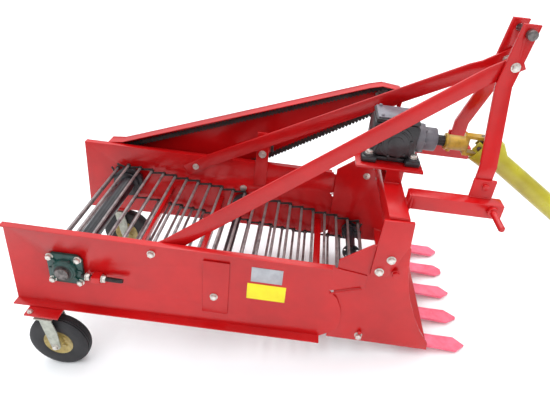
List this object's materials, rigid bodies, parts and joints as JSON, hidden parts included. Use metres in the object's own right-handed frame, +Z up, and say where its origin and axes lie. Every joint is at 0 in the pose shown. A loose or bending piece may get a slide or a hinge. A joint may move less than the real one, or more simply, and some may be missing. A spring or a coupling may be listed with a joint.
{
  "type": "potato harvester",
  "caption": "Single-row tractor-mounted potato harvester: share with pointed fingers, rod-web conveyor between side panels, three-point mast, gearbox, driveshaft and rear caster wheels.",
  "frame": {"origin": "on the floor, midway along and across the whole machine's bounds", "axes": "+X forward to the tractor end, +Y to the machine's left, +Z up from the floor"},
  "size_m": [2.3038, 0.776, 1.0129],
  "materials": {
    "red_enamel": "gloss",
    "black_paint": "satin",
    "web_steel": "satin",
    "zinc": "satin",
    "cast_grey": "satin",
    "bearing_green": "satin",
    "guard_yellow": "satin",
    "tyre_rubber": "matte",
    "rim_cream": "satin"
  },
  "bodies": {
    "frame": {"side_panel_right": "red_enamel", "cheek_right": "red_enamel", "leg_plate_right": "red_enamel", "side_panel_left": "red_enamel", "cheek_left": "red_enamel", "leg_plate_left": "red_enamel", "main_cross_beam": "red_enamel", "drawbar_right": "red_enamel", "hitch_pin_right": "red_enamel", "mast_leg_right": "red_enamel", "stay_right": "red_enamel", "drawbar_left": "red_enamel", "hitch_pin_left": "red_enamel", "mast_leg_left": "red_enamel", "stay_left": "red_enamel", "top_link_pin": "zinc", "share_blade": "red_enamel", "share_point_1": "red_enamel", "share_point_2": "red_enamel", "share_point_3": "red_enamel", "share_point_4": "red_enamel", "share_point_5": "red_enamel", "cross_member_rear": "red_enamel", "cross_member_middle": "red_enamel", "cross_member_front": "red_enamel", "web_conveyor": "web_steel", "drive_shaft": "black_paint", "driven_sprocket": "web_steel", "support_roller": "black_paint", "front_roller": "black_paint", "bearing_right": "bearing_green", "takeup_right": "red_enamel", "roller_pad_right": "red_enamel", "bearing_left": "bearing_green", "takeup_left": "red_enamel", "roller_pad_left": "red_enamel", "gearbox_platform": "red_enamel", "gearbox": "cast_grey", "output_shaft": "web_steel", "input_yoke": "guard_yellow", "drive_chain": "web_steel", "chain_guard": "red_enamel", "tensioner": "red_enamel", "caster_plate_right": "red_enamel", "caster_plate_left": "red_enamel"},
    "caster_right": {"caster_fork_right": "zinc"},
    "wheel_right": {"caster_rim_right": "rim_cream", "caster_tyre_right": "tyre_rubber"},
    "caster_left": {"caster_fork_left": "zinc"},
    "wheel_left": {"caster_rim_left": "rim_cream", "caster_tyre_left": "tyre_rubber"},
    "shaft_cross": {"driveshaft_cross": "web_steel"},
    "shaft_outer": {"driveshaft_tube": "guard_yellow"},
    "shaft_inner": {"driveshaft_inner": "guard_yellow"},
    "end_cross": {"driveshaft_end_cross": "web_steel"},
    "end_yoke": {"driveshaft_end_yoke": "guard_yellow"}
  },
  "joints": [
    {"name": "caster_swivel_right", "type": "hinge", "parent": "frame", "child": "caster_right", "pos_m": [-1.04413, -0.342, 0.23776], "axis": [0.181, 0, 0.9835], "continuous": true},
    {"name": "wheel_spin_right", "type": "hinge", "parent": "caster_right", "child": "wheel_right", "pos_m": [-1.03242, -0.342, 0.108], "axis": [0, 1, 0], "continuous": true},
    {"name": "caster_swivel_left", "type": "hinge", "parent": "frame", "child": "caster_left", "pos_m": [-1.04413, 0.342, 0.23776], "axis": [0.181, 0, 0.9835], "continuous": true},
    {"name": "wheel_spin_left", "type": "hinge", "parent": "caster_left", "child": "wheel_left", "pos_m": [-1.03242, 0.342, 0.108], "axis": [0, 1, 0], "continuous": true},
    {"name": "driveshaft_swing", "type": "hinge", "parent": "frame", "child": "shaft_cross", "pos_m": [0.41695, 0, 0.62983], "axis": [0.181, 0, 0.9835], "range_deg": [-2, 48]},
    {"name": "driveshaft_lift", "type": "hinge", "parent": "shaft_cross", "child": "shaft_outer", "pos_m": [0.41695, 0, 0.62983], "axis": [0.3843, 0.9205, -0.0707], "range_deg": [-38, 4]},
    {"name": "driveshaft_slide", "type": "slide", "parent": "shaft_outer", "child": "shaft_inner", "axis": [0.7154, -0.3453, -0.6074], "range_m": [-0.06, 0.14]},
    {"name": "end_yoke_pitch", "type": "hinge", "parent": "shaft_inner", "child": "end_cross", "pos_m": [1.06875, -0.31462, 0.0764], "axis": [0.3843, 0.9205, -0.0707], "range_deg": [-25, 25]},
    {"name": "end_yoke_swing", "type": "hinge", "parent": "end_cross", "child": "end_yoke", "pos_m": [1.06875, -0.31462, 0.0764], "axis": [0.5836, -0.1828, 0.7912], "range_deg": [-25, 25]}
  ]
}
